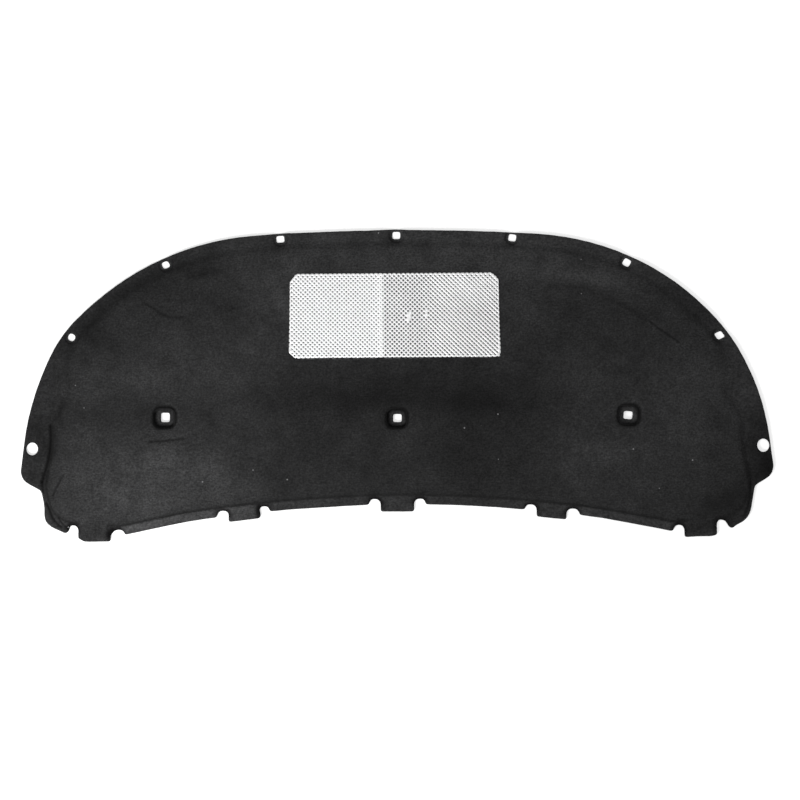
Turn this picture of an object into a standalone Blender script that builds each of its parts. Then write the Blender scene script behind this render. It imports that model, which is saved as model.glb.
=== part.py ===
"""Moulded felt insulation pad for the underside of a bonnet, with a foil heat shield on it.

Lengths are in metres. The pad lies on its back face. +X runs along the pad, +Y towards its
curved front edge and +Z out of the side that faces the engine. The origin is on the back
face, at the middle of the box around the pad.
"""

from math import acos, ceil, cos, pi, radians, sin, sqrt, tan

import bmesh
import bpy
from mathutils import Vector

# Front edge, from the centre line outwards: arcs that meet without a corner
FRONT_RADIUS = 3.700
FRONT_TURN = radians(3.7)
SHOULDER_RADIUS = 0.460
SHOULDER_TURN = radians(43.1)
CORNER_RADIUS = 0.249
CORNER_TURN = radians(13.6)
SIDE_RADIUS = 0.428
SIDE_TURN = radians(22.1)

# Side lobe, which carries the pad's outermost locating hole
LOBE_SIDE = 0.063
LOBE_RADIUS = 0.024
LOBE_OVERHANG = 0.0335
LOBE_UNDERSIDE_FALL = 0.0200
LOBE_THROAT_RADIUS = 0.008

# Foot, the rounded rear corner below the lobe
FOOT_HEIGHT = 0.0870
FOOT_WIDTH = 0.0552
FOOT_TAPER = 0.0095
FOOT_RISE = 0.0310
FOOT_RADIUS = 0.062
FOOT_TIP_RISE = 0.0144
FOOT_TIP_RADIUS = 0.0025

# Rear edge, with tabs that tuck under the bonnet frame and a relief notch beside each
REAR_RADIUS = 2.230
NOTCH_WIDTH = 0.0195
NOTCH_DEPTH = 0.0095
NOTCH_SLANT = 0.0020
NOTCH_RADIUS = 0.0085
NOTCH_LIP_RADIUS = 0.0030
TAB_CORNER_RADIUS = 0.0020
CENTRE_TAB_WIDTH = 0.0568
CENTRE_TAB_DROP = 0.0124
MIDDLE_TAB_PLACE = 0.2613
MIDDLE_TAB_WIDTH = 0.0505
MIDDLE_TAB_DROP = 0.0100
OUTER_TAB_WIDTH = 0.0550
OUTER_TAB_DROP = 0.0058
OUTER_TAB_NOTCH_DEPTH = 0.0115
OUTER_TAB_CHAMFER_WIDTH = 0.0120
OUTER_TAB_CHAMFER_HEIGHT = 0.0030
FOOT_NOTCH_WIDTH = 0.0245
FOOT_NOTCH_SLANT = 0.0060
FOOT_NOTCH_RISE = 0.0280

# Section: a pressed flange, a step up to the body and a low crown on the body
FLANGE_THICKNESS = 0.005
STEP_HEIGHT = 0.005
STEP_RUN = 0.005
CROWN_HEIGHT = 0.004
CROWN_RUN = 0.022
CROWN_ROOT = 0.001
SHELF_WIDTH = 0.008
FRONT_FLANGE_WIDTH = 0.022
REAR_FLANGE_WIDTH = 0.014
BODY_EDGE_SETBACK = 0.2091

# Line where the body ends beside the lobe and the foot, measured from the throat under the lobe
SIDE_BAND_INSET = 0.0475
SIDE_BAND_END = 0.1575
CREASE_INSET = 0.0200
CREASE_TOP = 0.1160
CREASE_END = 0.0700
THROAT_MARGIN = 0.0060
FOOT_MARGIN = 0.0115
BAND_RADIUS = 0.060
BAND_FADE_RADIUS = 0.025
CREASE_RADIUS = 0.045
BODY_CORNER_RADIUS = 0.036

# Body material that runs down into the outer tab
TAB_PAD_MARGIN = 0.0045
TAB_PAD_LENGTH = 0.046
TAB_PAD_RADIUS = 0.006
TAB_PAD_BEVEL = 0.003
TAB_PAD_DROP = 0.0007

# Square clip holes along the front edge: distance along the edge and in from it
EDGE_CLIP_SIDE = 0.0127
EDGE_CLIP_PLACES = (
    (0.0000, 0.0084),
    (0.1977, 0.0084),
    (0.4025, 0.0105),
    (0.6110, 0.0129),
)
EDGE_SEAT_SIDE = 0.026
EDGE_SEAT_RADIUS = 0.007
EDGE_SEAT_THICKNESS = 0.0032

# Locating hole in each lobe, slightly longer along the edge
LOBE_HOLE_SETBACK = 0.0511
LOBE_HOLE_INSET = 0.0142
LOBE_HOLE_WIDTH = 0.0218
LOBE_HOLE_LENGTH = 0.0236

# Square clip holes in the body, each in a pressed seat with sloping walls
BODY_CLIP_SIDE = 0.0160
CENTRE_CLIP_RISE = 0.2054
SIDE_CLIP_RISE = 0.2083
SIDE_CLIP_PLACE = 0.3930
SEAT_THICKNESS = 0.005
SEAT_WIDTH = 0.0300
SEAT_LENGTH = 0.0275
SEAT_RADIUS = 0.008
SEAT_WALL_RUN = 0.005

CLIP_HOLE_RADIUS = 0.0025

# Foil heat shield, bonded on the body; each corner is cut by a width and a height
FOIL_THICKNESS = 0.0008
FOIL_FRONT_MARGIN = 0.0736
FOIL_DEPTH = 0.1437
FOIL_FRONT_WIDTH = 0.3530
FOIL_REAR_WIDTH = 0.3585
FOIL_SHIFT = -0.0022
FOIL_CORNER_RADIUS = 0.004
FOIL_CUT_LEFT_FRONT = (0.0103, 0.0140)
FOIL_CUT_RIGHT_FRONT = (0.0135, 0.0120)
FOIL_CUT_RIGHT_REAR = (0.0018, 0.0035)
FOIL_CUT_LEFT_REAR = (0.0115, 0.0105)

CONTACT_GAP = 0.0003
CUTTER_EXCESS = 0.003
ARC_TOLERANCE = 0.00015
WELD_DISTANCE = 0.00001

STEP_TOP = FLANGE_THICKNESS + STEP_HEIGHT
BODY_TOP = STEP_TOP + CROWN_HEIGHT
FRONT_ARCS = (
    (FRONT_RADIUS, FRONT_TURN),
    (SHOULDER_RADIUS, SHOULDER_TURN),
    (CORNER_RADIUS, CORNER_TURN),
    (SIDE_RADIUS, SIDE_TURN),
)
FRONT_LENGTH = sum(radius * turn for radius, turn in FRONT_ARCS)
LOBE_END = FRONT_LENGTH + LOBE_SIDE
BODY_EDGE_REACH = FRONT_LENGTH - BODY_EDGE_SETBACK


def arc_steps(radius, turn):
    """How many straight pieces keep an arc within the tolerance."""
    if radius <= ARC_TOLERANCE:
        return 1
    widest = 2 * acos(1 - ARC_TOLERANCE / radius)
    return max(1, ceil(abs(turn) / widest))


def run_along(distance):
    """How far a run along the front edge goes out and back from its middle, and its heading there.

    A heading is the clockwise angle from +X.
    """
    x = 0.0
    y = 0.0
    heading = 0.0
    for radius, turn in FRONT_ARCS:
        part = min(distance, radius * turn)
        after = heading + part / radius
        x += radius * (sin(after) - sin(heading))
        y += radius * (cos(after) - cos(heading))
        heading = after
        distance -= part
    return x + distance * cos(heading), y - distance * sin(heading), heading


LOBE_X, LOBE_FALL, SIDE_HEADING = run_along(LOBE_END)
THROAT_X = LOBE_X - LOBE_OVERHANG
FOOT_X = THROAT_X - FOOT_TAPER
TAB_OUTER_SIDE = FOOT_X - FOOT_WIDTH
TAB_INNER_SIDE = TAB_OUTER_SIDE - OUTER_TAB_WIDTH
NOTCH_END = TAB_INNER_SIDE - NOTCH_WIDTH
PAD_DEPTH = LOBE_UNDERSIDE_FALL + FOOT_HEIGHT - LOBE_FALL
FRONT_Y = PAD_DEPTH / 2
REAR_Y = -PAD_DEPTH / 2
THROAT_Y = REAR_Y + FOOT_HEIGHT


def edge_place(distance, inset):
    """The point at a distance along the front edge, moved in from it, and the heading there."""
    x, y, heading = run_along(distance)
    return x - inset * sin(heading), FRONT_Y + y - inset * cos(heading), heading


def edge_points(inset, reach):
    """Points along the front edge from the centre line as far as reach, moved in by inset."""
    points = []
    start = 0.0
    for radius, turn in FRONT_ARCS:
        length = max(0.0, min(radius * turn, reach - start))
        steps = arc_steps(radius, length / radius)
        if length > 0:
            points += [edge_place(start + length * step / steps, inset)[:2] for step in range(steps)]
        start += length
    points.append(edge_place(reach, inset)[:2])
    return points


def rear_y(x):
    """The rear edge's arc at x. It passes a drop above the inner corner of the outer tab."""
    rise = sqrt(REAR_RADIUS**2 - x**2) - sqrt(REAR_RADIUS**2 - TAB_INNER_SIDE**2)
    return REAR_Y + OUTER_TAB_DROP + rise


def rear_points(start, end, inset=0.0):
    """Points inside one stretch of the rear edge, from start towards the centre line."""
    steps = arc_steps(REAR_RADIUS, (start - end) / REAR_RADIUS)
    places = [start + (end - start) * step / steps for step in range(1, steps)]
    return [(x, rear_y(x) + inset, 0.0) for x in places]


def rounded(corners):
    """Points of an outline from its (x, y, radius) corners, each corner with a radius an arc."""
    points = []
    for index, (x, y, radius) in enumerate(corners):
        corner = Vector((x, y))
        back = Vector(corners[index - 1][:2]) - corner
        ahead = Vector(corners[(index + 1) % len(corners)][:2]) - corner
        turn = pi - back.angle(ahead)
        room = min(back.length, ahead.length) / 2
        reach = min(radius * tan(turn / 2), room)
        if reach < ARC_TOLERANCE:
            points.append((x, y))
            continue
        fitted = reach / tan(turn / 2)
        inward = (back.normalized() + ahead.normalized()).normalized()
        centre = corner + inward * fitted / cos(turn / 2)
        arm = corner + back.normalized() * reach - centre
        side = -1 if back.cross(ahead) > 0 else 1
        steps = arc_steps(fitted, turn)
        for step in range(steps + 1):
            angle = side * turn * step / steps
            turned = Vector((arm.x * cos(angle) - arm.y * sin(angle), arm.x * sin(angle) + arm.y * cos(angle)))
            points.append(tuple(centre + turned))
    return points


def both_sides(half):
    """A whole outline from the corners of its right half, clockwise from the centre line."""
    left = [(-x, y, radius) for x, y, radius in reversed(half) if x > 0]
    return rounded(half + left)


def inset_points(points, distance):
    """A clockwise outline with every side moved in by one distance."""
    moved = []
    for index, point in enumerate(points):
        here = Vector(point)
        before = (here - Vector(points[index - 1])).normalized()
        after = (Vector(points[(index + 1) % len(points)]) - here).normalized()
        normal = Vector((before.y + after.y, -before.x - after.x)).normalized()
        lean = normal.dot(Vector((before.y, -before.x)))
        moved.append(tuple(here + normal * distance / lean))
    return moved


def side_corners():
    """Corners down the side: the lobe's end, the throat under it and the foot."""
    return [
        (LOBE_X, FRONT_Y + LOBE_FALL, LOBE_RADIUS),
        (THROAT_X, THROAT_Y, LOBE_THROAT_RADIUS),
        (FOOT_X, REAR_Y + FOOT_RISE, FOOT_RADIUS),
    ]


def outer_tab_corners():
    """Corners of the foot's tip, its notch, the outer tab and that tab's inner notch."""
    tip = TAB_OUTER_SIDE + FOOT_NOTCH_WIDTH
    foot_top = REAR_Y + FOOT_NOTCH_RISE
    return [
        (tip, REAR_Y + FOOT_TIP_RISE, FOOT_TIP_RADIUS),
        (tip - FOOT_NOTCH_SLANT, foot_top, NOTCH_RADIUS),
        (TAB_OUTER_SIDE, foot_top, NOTCH_RADIUS),
        (TAB_OUTER_SIDE, REAR_Y + OUTER_TAB_CHAMFER_HEIGHT, TAB_CORNER_RADIUS),
        (TAB_OUTER_SIDE - OUTER_TAB_CHAMFER_WIDTH, REAR_Y, TAB_CORNER_RADIUS),
        (TAB_INNER_SIDE, REAR_Y, TAB_CORNER_RADIUS),
    ] + notch_corners(TAB_INNER_SIDE, -1, OUTER_TAB_NOTCH_DEPTH)


def notch_corners(tab_side, way, depth=NOTCH_DEPTH):
    """Corners of a notch, from the tab's side to the lip on the flange; way is 1 outwards."""
    far = tab_side + way * NOTCH_WIDTH
    top = rear_y((tab_side + far) / 2) + depth
    return [
        (tab_side, top, NOTCH_RADIUS),
        (far - way * NOTCH_SLANT, top, NOTCH_RADIUS),
        (far, rear_y(far), NOTCH_LIP_RADIUS),
    ]


def middle_tab_corners():
    """Corners of the middle tab and its two notches; its end follows the rear edge."""
    outer = MIDDLE_TAB_PLACE + MIDDLE_TAB_WIDTH / 2
    inner = MIDDLE_TAB_PLACE - MIDDLE_TAB_WIDTH / 2
    ends = [(x, rear_y(x) - MIDDLE_TAB_DROP, TAB_CORNER_RADIUS) for x in (outer, inner)]
    return notch_corners(outer, 1)[::-1] + ends + notch_corners(inner, -1)


def centre_tab_corners():
    """Corners of the right half of the centre tab and its notch."""
    side = CENTRE_TAB_WIDTH / 2
    end = rear_y(0.0) - CENTRE_TAB_DROP
    return notch_corners(side, 1)[::-1] + [(side, end, TAB_CORNER_RADIUS)]


def pad_outline():
    """The pad's whole outline, clockwise, with its lobes, feet, tabs and notches."""
    half = [(x, y, 0.0) for x, y in edge_points(0.0, FRONT_LENGTH)]
    half += side_corners()
    half += outer_tab_corners()
    for tab in (middle_tab_corners(), centre_tab_corners()):
        half += rear_points(half[-1][0], tab[0][0])
        half += tab
    return both_sides(half)


def front_run(inset, side):
    """Corners along the front edge, moved in by inset, and where that line meets the side."""
    x, y, heading = edge_place(BODY_EDGE_REACH, inset)
    corner = (side, y - (side - x) * tan(heading), BAND_RADIUS)
    return [(x, y, 0.0) for x, y in edge_points(inset, BODY_EDGE_REACH)] + [corner]


def body_outline():
    """Outline at the foot of the body's step, clockwise."""
    side = THROAT_X - SIDE_BAND_INSET
    half = front_run(FRONT_FLANGE_WIDTH, side) + [
        (side, THROAT_Y + SIDE_BAND_END, BAND_FADE_RADIUS),
        (THROAT_X - CREASE_INSET, THROAT_Y + CREASE_TOP, CREASE_RADIUS),
        (THROAT_X - CREASE_INSET, THROAT_Y + CREASE_END, BAND_RADIUS),
        (THROAT_X - THROAT_MARGIN, THROAT_Y, BAND_RADIUS),
        (FOOT_X - FOOT_MARGIN / 2, REAR_Y + FOOT_RISE + 2 * FOOT_MARGIN, BODY_CORNER_RADIUS),
        (FOOT_X - 3 * FOOT_MARGIN, REAR_Y + FOOT_RISE, BODY_CORNER_RADIUS),
        (NOTCH_END, rear_y(NOTCH_END) + REAR_FLANGE_WIDTH, BODY_CORNER_RADIUS),
    ]
    half += rear_points(NOTCH_END, 0.0, REAR_FLANGE_WIDTH)
    half.append((0.0, rear_y(0.0) + REAR_FLANGE_WIDTH, 0.0))
    return both_sides(half)


def crown_outline():
    """Outline at the foot of the crown, which stays a shelf's width inside the body's step."""
    shelf = STEP_RUN + SHELF_WIDTH
    side = THROAT_X - SIDE_BAND_INSET - shelf
    rear_rise = REAR_FLANGE_WIDTH + shelf
    half = front_run(FRONT_FLANGE_WIDTH + shelf, side) + [
        (side, REAR_Y + FOOT_RISE + 2 * FOOT_MARGIN, BAND_RADIUS),
        (NOTCH_END, rear_y(NOTCH_END) + rear_rise, BAND_RADIUS),
    ]
    half += rear_points(NOTCH_END, 0.0, rear_rise)
    half.append((0.0, rear_y(0.0) + rear_rise, 0.0))
    return both_sides(half)


def rounded_rectangle(width, height, radius, x=0.0, y=0.0, heading=0.0):
    """A clockwise rectangle with rounded corners, turned clockwise by heading."""
    corners = []
    for across, along in ((-0.5, 0.5), (0.5, 0.5), (0.5, -0.5), (-0.5, -0.5)):
        u = across * width
        v = along * height
        corners.append((x + u * cos(heading) + v * sin(heading), y - u * sin(heading) + v * cos(heading), radius))
    return rounded(corners)


def foil_outline():
    """The foil's outline, clockwise, with three cut corners and one almost square."""
    front = FRONT_Y - FOIL_FRONT_MARGIN
    rear = front - FOIL_DEPTH
    ends = (
        (-FOIL_FRONT_WIDTH / 2, front, FOIL_CUT_LEFT_FRONT),
        (FOIL_FRONT_WIDTH / 2, front, FOIL_CUT_RIGHT_FRONT),
        (FOIL_REAR_WIDTH / 2, rear, FOIL_CUT_RIGHT_REAR),
        (-FOIL_REAR_WIDTH / 2, rear, FOIL_CUT_LEFT_REAR),
    )
    corners = []
    for x, y, (cut_width, cut_height) in ends:
        toward_x = -cut_width if x > 0 else cut_width
        toward_y = -cut_height if y == front else cut_height
        on_end = (FOIL_SHIFT + x, y + toward_y, FOIL_CORNER_RADIUS)
        on_length = (FOIL_SHIFT + x + toward_x, y, FOIL_CORNER_RADIUS)
        corners += [on_end, on_length] if x * toward_y > 0 else [on_length, on_end]
    return rounded(corners)


def clear_scene():
    """Empties the scene of every object."""
    for thing in list(bpy.data.objects):
        bpy.data.objects.remove(thing, do_unlink=True)


def new_collection(name):
    """A collection linked to the scene."""
    collection = bpy.data.collections.new(name)
    bpy.context.scene.collection.children.link(collection)
    return collection


def new_material(name, color, roughness, metallic):
    """A Principled material."""
    material = bpy.data.materials.new(name)
    material.use_nodes = True
    shader = material.node_tree.nodes["Principled BSDF"]
    shader.inputs["Base Color"].default_value = (*color, 1.0)
    shader.inputs["Roughness"].default_value = roughness
    shader.inputs["Metallic"].default_value = metallic
    return material


def mesh_object(name, mesh, collection):
    """An object of a mesh, shaded smooth where it is round."""
    mesh.shade_smooth()
    mesh.set_sharp_from_angle(angle=radians(35))
    made = bpy.data.objects.new(name, mesh)
    collection.objects.link(made)
    return made


def slab(name, outline, bottom, top, collection):
    """A flat piece with one outline, from a filled and extruded 2D curve."""
    curve = bpy.data.curves.new(name, "CURVE")
    curve.dimensions = "2D"
    curve.fill_mode = "BOTH"
    curve.extrude = (top - bottom) / 2
    spline = curve.splines.new("POLY")
    spline.points.add(len(outline) - 1)
    for point, (x, y) in zip(spline.points, outline):
        point.co = (x, y, 0.0, 1.0)
    spline.use_cyclic_u = True
    drawn = bpy.data.objects.new(name, curve)
    drawn.location.z = (bottom + top) / 2
    collection.objects.link(drawn)
    bpy.context.view_layer.update()
    evaluated = drawn.evaluated_get(bpy.context.evaluated_depsgraph_get())
    mesh = bpy.data.meshes.new_from_object(evaluated)
    mesh.transform(drawn.matrix_world)
    bpy.data.objects.remove(drawn)
    work = bmesh.new()
    work.from_mesh(mesh)
    bmesh.ops.remove_doubles(work, verts=work.verts, dist=WELD_DISTANCE)
    bmesh.ops.recalc_face_normals(work, faces=work.faces)
    work.to_mesh(mesh)
    work.free()
    return mesh_object(name, mesh, collection)


def loft(name, sections, collection):
    """A closed piece through outlines of equal length, given as (outline, z) from the bottom up."""
    work = bmesh.new()
    rings = [[work.verts.new((x, y, z)) for x, y in outline] for outline, z in sections]
    work.faces.new(rings[0])
    work.faces.new(reversed(rings[-1]))
    for lower, upper in zip(rings, rings[1:]):
        for index, vertex in enumerate(lower):
            work.faces.new((lower[index - 1], vertex, upper[index], upper[index - 1]))
    bmesh.ops.recalc_face_normals(work, faces=work.faces)
    mesh = bpy.data.meshes.new(name)
    work.to_mesh(mesh)
    work.free()
    return mesh_object(name, mesh, collection)


def mirror_over_centre(thing):
    """Adds the same shape on the other side of the centre line."""
    mirror = thing.modifiers.new("other_side", "MIRROR")
    mirror.merge_threshold = WELD_DISTANCE


def make_body(joined):
    """The raised body: a step up from the flange, a shelf, and a low crown with a flat top."""
    foot = body_outline()
    spread = STEP_RUN * (FLANGE_THICKNESS / 2) / STEP_HEIGHT
    loft(
        "body",
        [(inset_points(foot, -spread), FLANGE_THICKNESS / 2), (inset_points(foot, STEP_RUN), STEP_TOP)],
        joined,
    )
    crown = crown_outline()
    spread = CROWN_RUN * CROWN_ROOT / CROWN_HEIGHT
    loft(
        "crown",
        [(inset_points(crown, -spread), STEP_TOP - CROWN_ROOT), (inset_points(crown, CROWN_RUN), BODY_TOP)],
        joined,
    )


def make_tab_pads(joined):
    """The body's full thickness carried down into both outer tabs."""
    width = OUTER_TAB_WIDTH - 2 * TAB_PAD_MARGIN
    outline = rounded_rectangle(
        width,
        TAB_PAD_LENGTH,
        TAB_PAD_RADIUS,
        x=(TAB_INNER_SIDE + TAB_OUTER_SIDE) / 2,
        y=REAR_Y + TAB_PAD_MARGIN + TAB_PAD_LENGTH / 2,
    )
    pads = slab("tab_pads", outline, FLANGE_THICKNESS / 2, STEP_TOP - TAB_PAD_DROP, joined)
    bevel = pads.modifiers.new("soft_edges", "BEVEL")
    bevel.width = TAB_PAD_BEVEL
    bevel.segments = 2
    bevel.limit_method = "ANGLE"
    mirror_over_centre(pads)


def make_edge_clips(cutters):
    """Cutters of the square holes along the front edge and of the pressed seats round them."""
    for number, (along, inset) in enumerate(EDGE_CLIP_PLACES):
        x, y, heading = edge_place(along, inset)
        hole = rounded_rectangle(EDGE_CLIP_SIDE, EDGE_CLIP_SIDE, CLIP_HOLE_RADIUS, x, y, heading)
        seat = rounded_rectangle(EDGE_SEAT_SIDE, EDGE_SEAT_SIDE, EDGE_SEAT_RADIUS, x, y, heading)
        top = BODY_TOP + CUTTER_EXCESS
        hole_cutter = slab(f"edge_hole_{number}", hole, -CUTTER_EXCESS, top, cutters)
        seat_cutter = slab(f"edge_seat_{number}", seat, EDGE_SEAT_THICKNESS, top, cutters)
        if along > 0:
            mirror_over_centre(hole_cutter)
            mirror_over_centre(seat_cutter)


def make_lobe_holes(cutters):
    """Cutter of the oval locating holes in the two lobes."""
    x, y, heading = edge_place(LOBE_END - LOBE_HOLE_SETBACK, LOBE_HOLE_INSET)
    steps = 2 * arc_steps(LOBE_HOLE_LENGTH / 2, pi)
    outline = []
    for step in range(steps):
        angle = -2 * pi * step / steps
        u = cos(angle) * LOBE_HOLE_LENGTH / 2
        v = sin(angle) * LOBE_HOLE_WIDTH / 2
        outline.append((x + u * cos(heading) + v * sin(heading), y - u * sin(heading) + v * cos(heading)))
    holes = slab("lobe_holes", outline, -CUTTER_EXCESS, BODY_TOP + CUTTER_EXCESS, cutters)
    mirror_over_centre(holes)


def make_body_clips(cutters):
    """Cutters of the three square holes in the body and of their sloping seats."""
    places = ((0.0, CENTRE_CLIP_RISE), (SIDE_CLIP_PLACE, SIDE_CLIP_RISE))
    slope = SEAT_WALL_RUN / (BODY_TOP - SEAT_THICKNESS)
    top = BODY_TOP + CUTTER_EXCESS
    spread = 2 * slope * (top - SEAT_THICKNESS)
    for number, (x, rise) in enumerate(places):
        y = REAR_Y + rise
        hole = rounded_rectangle(BODY_CLIP_SIDE, BODY_CLIP_SIDE, CLIP_HOLE_RADIUS, x, y)
        floor = rounded_rectangle(SEAT_WIDTH, SEAT_LENGTH, SEAT_RADIUS, x, y)
        mouth = inset_points(floor, -spread / 2)
        hole_cutter = slab(f"body_hole_{number}", hole, -CUTTER_EXCESS, top, cutters)
        seat_cutter = loft(f"body_seat_{number}", [(floor, SEAT_THICKNESS), (mouth, top)], cutters)
        if x > 0:
            mirror_over_centre(hole_cutter)
            mirror_over_centre(seat_cutter)


def add_boolean(target, collection, operation):
    """A Boolean modifier with every piece of a collection."""
    boolean = target.modifiers.new(collection.name, "BOOLEAN")
    boolean.operation = operation
    boolean.operand_type = "COLLECTION"
    boolean.collection = collection
    for piece in collection.objects:
        piece.hide_render = True
        piece.display_type = "WIRE"


def make_felt_pad(parts, joined, cutters):
    """The moulded pad: flange, body and tab pads joined, then every hole and seat cut."""
    pad = slab("felt_pad", pad_outline(), 0.0, FLANGE_THICKNESS, parts)
    make_body(joined)
    make_tab_pads(joined)
    make_edge_clips(cutters)
    make_lobe_holes(cutters)
    make_body_clips(cutters)
    add_boolean(pad, joined, "UNION")
    add_boolean(pad, cutters, "DIFFERENCE")
    pad.data.materials.append(new_material("black_felt", (0.035, 0.035, 0.037), 0.95, 0.0))
    return pad


def make_foil(parts):
    """The thin foil sheet that lies on the body."""
    bottom = BODY_TOP + CONTACT_GAP
    foil = slab("foil_heat_shield", foil_outline(), bottom, bottom + FOIL_THICKNESS, parts)
    foil.data.materials.append(new_material("aluminium_foil", (0.88, 0.88, 0.89), 0.35, 0.8))
    return foil


def main():
    """Builds the pad and its foil."""
    clear_scene()
    parts = new_collection("engine_bay_insulation_pad")
    make_felt_pad(parts, new_collection("joined"), new_collection("cutters"))
    make_foil(parts)


main()
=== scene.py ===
from math import cos, pi, radians, sin

import bmesh
import bpy
import numpy as np
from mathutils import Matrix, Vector, noise
from mathutils.bvhtree import BVHTree
from mathutils.geometry import delaunay_2d_cdt
from mathutils.kdtree import KDTree


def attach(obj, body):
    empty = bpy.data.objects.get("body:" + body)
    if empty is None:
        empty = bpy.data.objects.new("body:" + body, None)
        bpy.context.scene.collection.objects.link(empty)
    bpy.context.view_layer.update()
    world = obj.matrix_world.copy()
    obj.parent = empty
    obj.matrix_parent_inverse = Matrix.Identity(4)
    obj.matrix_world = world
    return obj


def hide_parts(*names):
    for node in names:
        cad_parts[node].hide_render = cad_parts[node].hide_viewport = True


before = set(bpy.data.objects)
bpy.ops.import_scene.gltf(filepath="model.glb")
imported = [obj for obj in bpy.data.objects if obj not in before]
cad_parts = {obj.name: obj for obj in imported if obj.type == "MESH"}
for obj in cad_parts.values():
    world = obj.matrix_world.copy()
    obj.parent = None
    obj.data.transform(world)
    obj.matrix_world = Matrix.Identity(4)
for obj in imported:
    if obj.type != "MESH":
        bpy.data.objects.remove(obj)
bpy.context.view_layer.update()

# Lengths are in millimetres in the frame's X and Y, unless a comment says otherwise
MM = 0.001
ABOVE = 60.0
DOWN = Vector((0, 0, -1))

# Reading the part: how far off its level a face may be, and off its place a hole or a point
LEVEL_SLACK = 0.02
HOLE_SLACK = 4.0
SAME_POINT = 1e-5

# Faces of the part: how low its top may be and how far upward it faces at least, the upward
# share of a sloping wall, and the spacing of places on it
LOWEST_TOP = 1.0
LEAST_UPWARD = 0.5
STEEPEST_WALL = 0.1
FLATTEST_WALL = 0.95
WALL_SPACING = 4.0

# Mesh of the felt: spacing of its points
COARSE = 3.6
FINE = 1.8
FINEST = 1.1
EDGE_SPACING = 2.0
HOLE_SPACING = 1.3
BACK_SPACING = 12.0

# How near a crease or a wall the points are fine, and what each kind of point keeps clear of
# the edge and of finer points
CREASE_REACH = 7.0
WALL_REACH = 5.0
COARSE_CLEAR = 3.1
COARSE_APART = 2.2
FINE_CLEAR = 2.3
FINE_APART = 1.2
FINEST_CLEAR = 1.6

# Random shift of the points, two rows of points inside the edge, and the foot of the edge
SEED = 7
JITTER = 0.25
OUTER_RIM = 0.8
INNER_RIM = 1.9
FOOT_INSET = 0.5
WALL_FOOT = 1.0

# Smoothing: what a neighbour gives to a corner of an outline, and what a height keeps
EASE = 0.2
KEPT = 0.3

# Edges of the felt: reach of their rounding, how far it drops, how nearly it ends upright,
# # the least height, the painted light that pales them, and the unevenness of the cut
CUT_ROUND = 2.2
CUT_DROP = 1.2
CUT_UPRIGHT = 0.999
CUT_FLOOR = 1.6
CUT_PAINTED_LIGHT = 0.12
RAGGED = 0.35

# Where the rear and the front begin, and how sharply the outline bends inwards in a notch
REAR_ZONE = -190.0
FRONT_ZONE = 60.0
BEND_REACH = 3
LEAST_BEND = 0.25

# Creases: half width, depth, share of light that stays, points along the line
CREASES = (
    (3.6, 1.0, 0.72, [(-566, -20), (-568, -42), (-568, -60)]),
    (3.0, 2.0, 0.16, [(-587, -64), (-586, -92), (-590, -120), (-596, -140), (-603, -160)]),
    (6.5, 0.5, 0.72, [(-582, -72), (-580, -100), (-584, -120)]),
    (2.6, 1.6, 0.30, [(-603, -160), (-603, -176)]),
    (3.5, 0.6, 0.30, [(-491, -256), (-489, -246), (-484, -240)]),
    (3.5, 0.6, 0.26, [(-240, -223), (-240, -212), (-235, -202)]),
    (1.8, 1.2, 0.50, [(-564, -147), (-570, -157), (-578, -171), (-585, -183)]),
    (2.2, 1.6, 0.22, [(-598, -196), (-589, -212), (-580, -226), (-573, -236)]),
    (1.7, 1.0, 0.35, [(-575, -220), (-568, -234), (-562, -243)]),
    (2.0, 1.0, 0.58, [(-424, 142), (-410, 133), (-397, 124), (-385, 118), (-360, 117)]),
    (2.2, 0.35, 0.85, [(-390, 147), (-358, 147)]),
    (2.4, 1.1, 0.40, [(-418, -93), (-395, -92), (-361, -88)]),
    (1.7, 1.2, 0.50, [(430, 104), (452, 88), (480, 69)]),
    (2.2, 1.2, 0.45, [(598, -170), (598, -194), (594, -212), (588, -226)]),
    (1.8, -0.5, 1.30, [(593, -171), (594, -194), (590, -211), (584, -224)]),
    (1.9, 0.8, 0.72, [(513, -247), (534, -233)]),
    (2.4, 0.5, 0.80, [(480, -222), (497, -220), (513, -225)]),
    (8.0, 0.3, 0.74, [(-532, 100), (-497, 136), (-450, 172), (-402, 196)]),
    (6.0, 0.7, 0.72, [(262, 165), (314, 163), (373, 139), (424, 109)]),
    (5.0, 0.4, 0.76, [(-350, 184), (-325, 191), (-300, 195)]),
    (2.6, 0.6, 0.55, [(-277, 134), (-275, 131)]),
    (10.0, -0.4, 1.20, [(225, 190), (280, 187), (373, 168), (450, 137), (500, 94)]),
)

# Broad waves of the soft pad: centre, half lengths, turn in degrees, height
WAVES = (
    (0, -5, 260, 24, 0, -1.5),
    (60, 22, 330, 30, 2, 0.8),
    (357, 181, 75, 12, -22, 1.1),
    (313, 152, 90, 14, -11, -0.9),
    (-430, 184, 70, 14, 28, -0.9),
    (-400, 150, 70, 16, 20, 0.8),
    (-300, -130, 90, 50, 0, 1.0),
    (-480, -150, 70, 50, 20, 1.0),
    (330, -110, 90, 60, 0, 0.8),
    (430, 20, 70, 60, 0, 0.8),
    (-230, 60, 60, 90, 0, 0.5),
)
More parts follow.
